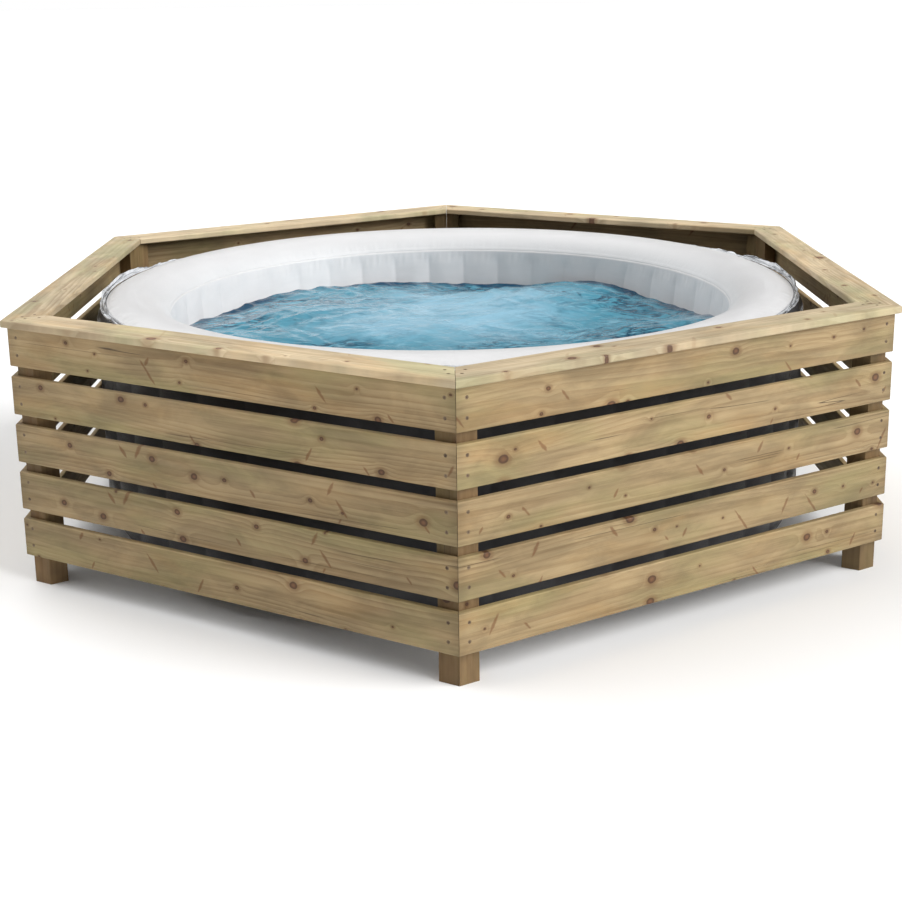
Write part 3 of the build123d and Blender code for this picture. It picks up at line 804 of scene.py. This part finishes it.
class HOTTUB_OT_top_ring(Operator):
    """Makes the padded top ring with its welded seams"""

    bl_idname = "hottub.top_ring"
    bl_label = "Top ring"

    def execute(self, context):
        settings = context.scene.hottub_walls
        section = arc(
            (OUTER_SEAM_RADIUS, OUTER_SEAM_HEIGHT), (CREST_RADIUS, CREST_HEIGHT),
            (INNER_SEAM_RADIUS, INNER_SEAM_HEIGHT), 72,
        )
        run = along_section(section)[None, :]
        length = run.max()
        turn = turns(settings.turn_steps)
        angle = turn[:, None]
        at_outer = np.exp(-((run - 0.016) / 0.016) ** 2)
        at_inner = np.exp(-((run - length + 0.022) / 0.014) ** 2)
        folds = crinkle(angle, run, (97, 149, 233, 301, 367), 40, 21)
        weld = smooth(length - 0.0125, length - 0.008, run) * 0.0006
        bulge = (bays(angle, 0.8) - 0.5) * 0.0008 * smooth(length * 0.6, length, run)
        shift = -0.0012 + folds * (0.0009 * at_outer + 0.0003 * at_inner) + weld + bulge
        shift = np.where(np.arange(run.shape[1])[None, :] == 0, 0.0, shift)
        piece = shifted("top_ring_sheet", turn, section, shift)
        thicken(piece, WALL_SHEET)
        finish_piece(piece, vinyl("white_sheet", settings.white, 0.36, 0.035), "tub", "white_pvc", "top_ring")
        return {"FINISHED"}


class HOTTUB_OT_inner_wall(Operator):
    """Makes the inner wall, pulled into upright creases by the baffles behind it"""

    bl_idname = "hottub.inner_wall"
    bl_label = "Inner wall"

    def execute(self, context):
        settings = context.scene.hottub_walls
        section = inner_section(84)
        run = along_section(section)[None, :]
        turn = turns(settings.turn_steps)
        shift = -inner_pull(turn[:, None], run, settings)
        piece = shifted("inner_wall_sheet", turn, section, shift)
        thicken(piece, WALL_SHEET)
        finish_piece(piece, vinyl("grey_sheet", settings.grey, 0.40, 0.06), "tub", "grey_pvc", "inner_wall")
        return {"FINISHED"}


class HOTTUB_OT_hem(Operator):
    """Makes the crinkled hem that stands out from the outer seam"""

    bl_idname = "hottub.hem"
    bl_label = "Hem"

    def execute(self, context):
        settings = context.scene.hottub_walls
        turn = turns(2520)
        out = np.linspace(0, 1, 12)[None, :]
        angle = turn[:, None]
        side = np.exp(-((np.sin(angle / 2 - 0.10) / 0.13) ** 2))
        side = side + np.exp(-((np.sin(angle / 2 - 1.50) / 0.13) ** 2))
        lean = -0.62 + 1.20 * np.clip(side, 0, 1) + 0.22 * crinkle(angle, 0, (5, 8, 13, 21, 34), 0, 31)
        width = settings.hem_width * (0.70 + 0.20 * side + 0.10 * crinkle(angle, 0, (4, 11, 17, 37), 0, 32))
        pleat = np.sin(2 * math.pi * (out * 1.35 + 0.22 * crinkle(angle, 0, (7, 12, 19, 31), 0, 36)))
        pleat = pleat * 0.0034 * smooth(0, 0.3, out)
        ruffle = crinkle(angle, out, (23, 41, 67, 89), 2.4, 33) * 0.0036
        sharp = crinkle(angle, out, (131, 173, 229), 3.0, 34) * 0.0009
        lift = pleat + (ruffle + sharp) * out**1.2
        radius = HEM_ROOT_RADIUS + width * out * np.cos(lean) - lift * np.sin(lean)
        height = HEM_ROOT_HEIGHT + width * out * np.sin(lean) + lift * np.cos(lean)
        piece = turned("hem_strip", turn, np.clip(radius, *HEM_REACH), height)
        thicken(piece, HEM_SHEET)
        finish_piece(piece, hem_foil("hem_foil"), "tub", "hem_vinyl", "hem_band")
        return {"FINISHED"}


class HOTTUB_OT_floor(Operator):
    """Makes the quilted floor pad and finishes the sheets beneath and inside the tub"""

    bl_idname = "hottub.floor"
    bl_label = "Floor"

    def execute(self, context):
        settings = context.scene.hottub_walls
        low, high = FLOOR[0].z, FLOOR[1].z
        radius = FLOOR[1].x - 0.001
        x, y = disc_grid(180)
        x, y = x * radius, y * radius
        quilt = np.abs(np.sin(x * 42) * np.sin(y * 42)) ** 0.4
        rim = 1 - smooth(radius - 0.02, radius, np.hypot(x, y))
        top = np.stack([x, y, high - 0.0020 + 0.0019 * quilt * rim], -1)
        piece = closed_disc("floor_pad_quilt", top, [(1.0, low + 0.0002)])
        finish_piece(piece, moulded("pad_foam_skin", settings.grey, 0.5), "tub", "grey_pvc", "floor_pad")
        dress(["base_sheet"], moulded("base_skin", settings.charcoal, 0.6))
        dress(["bubble_channel"], moulded("channel_skin", settings.grey, 0.45))
        return {"FINISHED"}


class HOTTUB_OT_webs(Operator):
    """Makes the upright webs that tie the inner wall to the outer wall"""

    bl_idname = "hottub.webs"
    bl_label = "Webs"

    def execute(self, context):
        settings = context.scene.hottub_walls
        low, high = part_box("wall_baffles")
        heights = np.linspace(low.z, high.z, 16)
        section = inner_section(200)
        upwards, run = section[::-1], along_section(section)[::-1]
        inside = np.interp(heights, upwards[:, 1], upwards[:, 0])
        pull = inner_pull(FIRST_BAFFLE, np.interp(heights, upwards[:, 1], run), settings)
        inside = inside + pull + WEB_SEAM
        outside = np.full_like(heights, OUTER_RADIUS - settings.rib_depth - WEB_SEAM)
        across = np.linspace(0, 1, 6)[None, :]
        radius = inside[:, None] * (1 - across) + outside[:, None] * across
        turn = (FIRST_BAFFLE + BAY * np.arange(BAY_COUNT))[:, None, None]
        level = np.broadcast_to(heights[:, None], radius.shape) + 0 * turn
        points = np.stack([radius * np.cos(turn), radius * np.sin(turn), level], -1)
        rows, columns = radius.shape
        web, i, j = np.meshgrid(
            np.arange(BAY_COUNT), np.arange(rows - 1), np.arange(columns - 1), indexing="ij"
        )
        corner = web * rows * columns + i * columns + j
        faces = np.stack([corner, corner + 1, corner + columns + 1, corner + columns], -1).reshape(-1, 4)
        across_steps, up_steps = np.stack([j, j + 1, j + 1, j], -1), np.stack([i, i, i + 1, i + 1], -1)
        uvs = np.stack([across_steps * 0.04, up_steps * 0.03], -1)
        piece = put_mesh("web_sheets", points, faces.tolist(), uvs)
        thicken(piece, WEB_SHEET).modifiers["sheet"].offset = 0
        sheet = vinyl("web_sheet", settings.white, 0.45, 0.05)
        finish_piece(piece, sheet, "tub", "white_pvc", "wall_baffles")
        return {"FINISHED"}


class HOTTUB_OT_fittings(Operator):
    """Finishes the ports, valves, caps and screens"""

    bl_idname = "hottub.fittings"
    bl_label = "Fittings"

    def execute(self, context):
        dark = moulded("fitting_dark", (0.045, 0.048, 0.055), 0.42)
        light = moulded("fitting_light", (0.62, 0.64, 0.66), 0.45)
        caps = [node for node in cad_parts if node.endswith("_cap")]
        dress(["port_couplings", "inflation_valve", "drain_valve", *caps], dark)
        dress(["debris_screens"], light)
        return {"FINISHED"}


class HOTTUB_OT_water(Operator):
    """Fills the cavity with moving water"""

    bl_idname = "hottub.water"
    bl_label = "Water"

    def execute(self, context):
        settings = context.scene.hottub_water
        walls = context.scene.hottub_walls
        x, y = disc_grid(240)
        turn = np.arctan2(y, x)
        section = inner_section(400)
        run = along_section(section)
        at_level = np.argmin(np.abs(section[:, 1] - settings.level))
        edge = section[at_level, 0] + inner_pull(turn, run[at_level], walls) + 0.0012
        x, y = x * edge, y * edge
        height = settings.level + waves(x, y, settings.wave_height)
        top = np.stack([x, y, height], -1)
        shelf = CHANNEL_TOP + 0.004
        channel_share = (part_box("bubble_channel")[1].x - CHANNEL_REACH) / edge.max()
        skirt = [
            (0.995, INNER_WALL_MIDDLE), (0.997, shelf + 0.02), (channel_share, shelf),
            (channel_share, FLOOR[1].z + WATER_GAP),
        ]
        piece = closed_disc("water", top, skirt)
        finish_piece(piece, water_finish("pool_water", settings), "tub", "water")
        return {"FINISHED"}


def waves(x, y, height):
    """Height of moving water: sines in random directions, the short ones sharpened to crests.

    Each wave's place is first pushed about by four long swells, so that no crest runs straight. The
    waves are about two thirds as high in the middle as at the wall.
    """
    draw = np.random.default_rng(8)
    bent_x = x + 0.035 * np.sin(7.1 * y + 1.3) + 0.02 * np.sin(15.0 * x + 9.0 * y)
    bent_y = y + 0.035 * np.sin(6.3 * x + 0.4) + 0.02 * np.sin(13.0 * y - 11.0 * x)
    total = np.zeros_like(x)
    for length in np.geomspace(0.80, 0.10, 20):
        heading, phase = draw.uniform(0, 2 * math.pi, 2)
        wave = np.sin(
            2 * math.pi / length * (bent_x * math.cos(heading) + bent_y * math.sin(heading)) + phase
        )
        if length < 0.30:
            wave = 1 - 1.4 * np.abs(wave)
        total += wave * (length / 0.80) ** 1.15
    return height * total / 2.0 * (0.62 + 0.38 * smooth(0.25, 0.65, np.hypot(x, y)))


def closed_disc(name, top, skirt):
    """A square grid bent to a disc, closed below by a skirt and a fan.

    top is the grid of points. The skirt carries the grid's edge down through rings, each a share
    of its radius and a height, and the fan joins the last ring to one point at the same height.
    """
    n = top.shape[0]
    index = np.arange(n * n).reshape(n, n)
    i, j = np.meshgrid(np.arange(n - 1), np.arange(n - 1), indexing="ij")
    faces = np.stack([index[i, j], index[i + 1, j], index[i + 1, j + 1], index[i, j + 1]], -1).reshape(-1, 4)
    loop = np.concatenate([index[:-1, 0], index[-1, :-1], index[:0:-1, -1], index[0, :0:-1]])
    edge = top.reshape(-1, 3)[loop]
    rings = [
        np.stack([edge[:, 0] * share, edge[:, 1] * share, np.full(len(loop), z)], -1) for share, z in skirt
    ]
    points = np.concatenate([top.reshape(-1, 3), *rings, [[0.0, 0.0, skirt[-1][1]]]])
    quads, above = [faces], loop
    for k in range(len(skirt)):
        below = n * n + k * len(loop) + np.arange(len(loop))
        quads.append(np.stack([above, below, np.roll(below, -1), np.roll(above, -1)], -1))
        above = below
    centre = np.full(len(loop), len(points) - 1)
    fan = np.stack([above, centre, np.roll(above, -1)], -1)
    return put_mesh(name, points, np.concatenate(quads).tolist() + fan.tolist())


class HOTTUB_OT_stage(Operator):
    """Makes the floor, the light and the camera"""

    bl_idname = "hottub.stage"
    bl_label = "Stage"

    def execute(self, context):
        settings = context.scene.hottub_stage
        scene = context.scene
        scene.view_settings.view_transform = "Standard"
        corners = np.array([(-1, -1, 0), (1, -1, 0), (1, 1, 0), (-1, 1, 0)], float) * FLOOR_REACH
        floor = put_mesh("floor", corners, [(0, 1, 2, 3)])
        paint = Finish("floor_paint")
        tone = paint.mix(paint.noise(paint.point(), 1.2), (0.94, 0.94, 0.94), (0.96, 0.96, 0.96))
        floor.data.materials.append(paint.surface(tone, 0.8, Specular_IOR_Level=0.1))

        world = bpy.data.worlds.new("even_sky")
        world.use_nodes = True
        background = world.node_tree.nodes["Background"]
        background.inputs["Color"].default_value = (1, 1, 1, 1)
        seen = world.node_tree.nodes.new("ShaderNodeLightPath")
        level = world.node_tree.nodes.new("ShaderNodeMath")
        level.operation = "MULTIPLY_ADD"
        level.inputs[1].default_value = 1 - settings.sky_strength
        level.inputs[2].default_value = settings.sky_strength
        world.node_tree.links.new(seen.outputs["Is Camera Ray"], level.inputs[0])
        world.node_tree.links.new(level.outputs[0], background.inputs["Strength"])
        scene.world = world

        lamps = (
            ("key", settings.key_strength, KEY_SPREAD, KEY_DIRECTION),
            ("fill", settings.fill_strength, FILL_SPREAD, FILL_DIRECTION),
        )
        for name, strength, spread, towards in lamps:
            lamp = bpy.data.lights.new(name, "SUN")
            lamp.energy = strength
            lamp.angle = math.radians(spread)
            light = bpy.data.objects.new(name, lamp)
            light.rotation_euler = Vector(towards).to_track_quat("Z", "Y").to_euler()
            scene.collection.objects.link(light)

        camera = bpy.data.objects.new("camera", bpy.data.cameras.new("camera"))
        yaw = Matrix.Rotation(-math.radians(CAMERA_YAW), 4, "Z")
        pitch = Matrix.Rotation(math.pi / 2 - math.radians(CAMERA_PITCH), 4, "X")
        roll = Matrix.Rotation(math.radians(CAMERA_ROLL), 4, "Z")
        camera.matrix_world = Matrix.Translation(CAMERA_PLACE) @ (yaw @ pitch @ roll)
        camera.data.lens = settings.lens
        camera.data.sensor_width = 36
        camera.data.shift_y = CAMERA_SHIFT
        scene.collection.objects.link(camera)
        scene.camera = camera
        return {"FINISHED"}


STEPS = (
    HOTTUB_OT_stage, HOTTUB_OT_timber, HOTTUB_OT_screws, HOTTUB_OT_outer_wall, HOTTUB_OT_top_ring,
    HOTTUB_OT_inner_wall, HOTTUB_OT_webs, HOTTUB_OT_hem, HOTTUB_OT_floor, HOTTUB_OT_fittings,
    HOTTUB_OT_water,
)
SETTINGS = {
    "hottub_timber": HotTubTimber, "hottub_walls": HotTubWalls,
    "hottub_water": HotTubWater, "hottub_stage": HotTubStage,
}


class HOTTUB_PT_panel(Panel):
    """Lists the steps that dress the hot tub"""

    bl_idname = "HOTTUB_PT_panel"
    bl_label = "Hot tub"
    bl_space_type = "VIEW_3D"
    bl_region_type = "UI"
    bl_category = "Hot tub"

    def draw(self, context):
        for name, group in SETTINGS.items():
            box = self.layout.box()
            for key in group.__annotations__:
                box.prop(getattr(context.scene, name), key)
        for step in STEPS:
            self.layout.operator(step.bl_idname)


def register():
    """Adds the settings, the operators and the panel."""
    for name, group in SETTINGS.items():
        bpy.utils.register_class(group)
        setattr(bpy.types.Scene, name, PointerProperty(type=group))
    for kind in (*STEPS, HOTTUB_PT_panel):
        bpy.utils.register_class(kind)


def unregister():
    """Removes them again."""
    for kind in reversed((*STEPS, HOTTUB_PT_panel)):
        bpy.utils.unregister_class(kind)
    for name, group in SETTINGS.items():
        delattr(bpy.types.Scene, name)
        bpy.utils.unregister_class(group)


def main():
    """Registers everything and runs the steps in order."""
    register()
    for step in STEPS:
        group, name = step.bl_idname.split(".")
        getattr(getattr(bpy.ops, group), name)()


if __name__ == "__main__":
    main()
